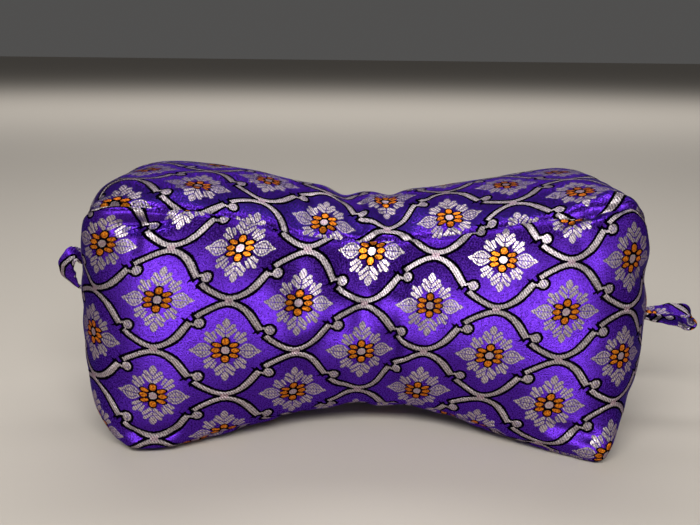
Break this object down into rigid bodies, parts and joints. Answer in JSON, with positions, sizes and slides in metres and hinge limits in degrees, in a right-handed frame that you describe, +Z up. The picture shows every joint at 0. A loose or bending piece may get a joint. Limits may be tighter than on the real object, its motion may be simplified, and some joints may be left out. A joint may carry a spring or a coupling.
{
  "type": "neck pillow",
  "caption": "Bone-shaped neck pillow of woven satin brocade, broad at both ends and narrow at the waist, with a folded cloth loop at each end for hanging or pulling.",
  "frame": {"origin": "under the middle of the object's box, on the surface that the pillow lies on", "axes": "+X along the pillow towards the straight loop, -Y out of the front panel, +Z up"},
  "size_m": [0.3964, 0.1742, 0.1468],
  "materials": {
    "brocade_cover": "violet satin ground with a silver trellis and small silver flowers",
    "brocade_strip": "the same brocade, folded into a narrow strip"
  },
  "bodies": {
    "root": {"pillow_body": "brocade_cover", "loop_left": "brocade_strip", "loop_right": "brocade_strip"}
  },
  "joints": []
}
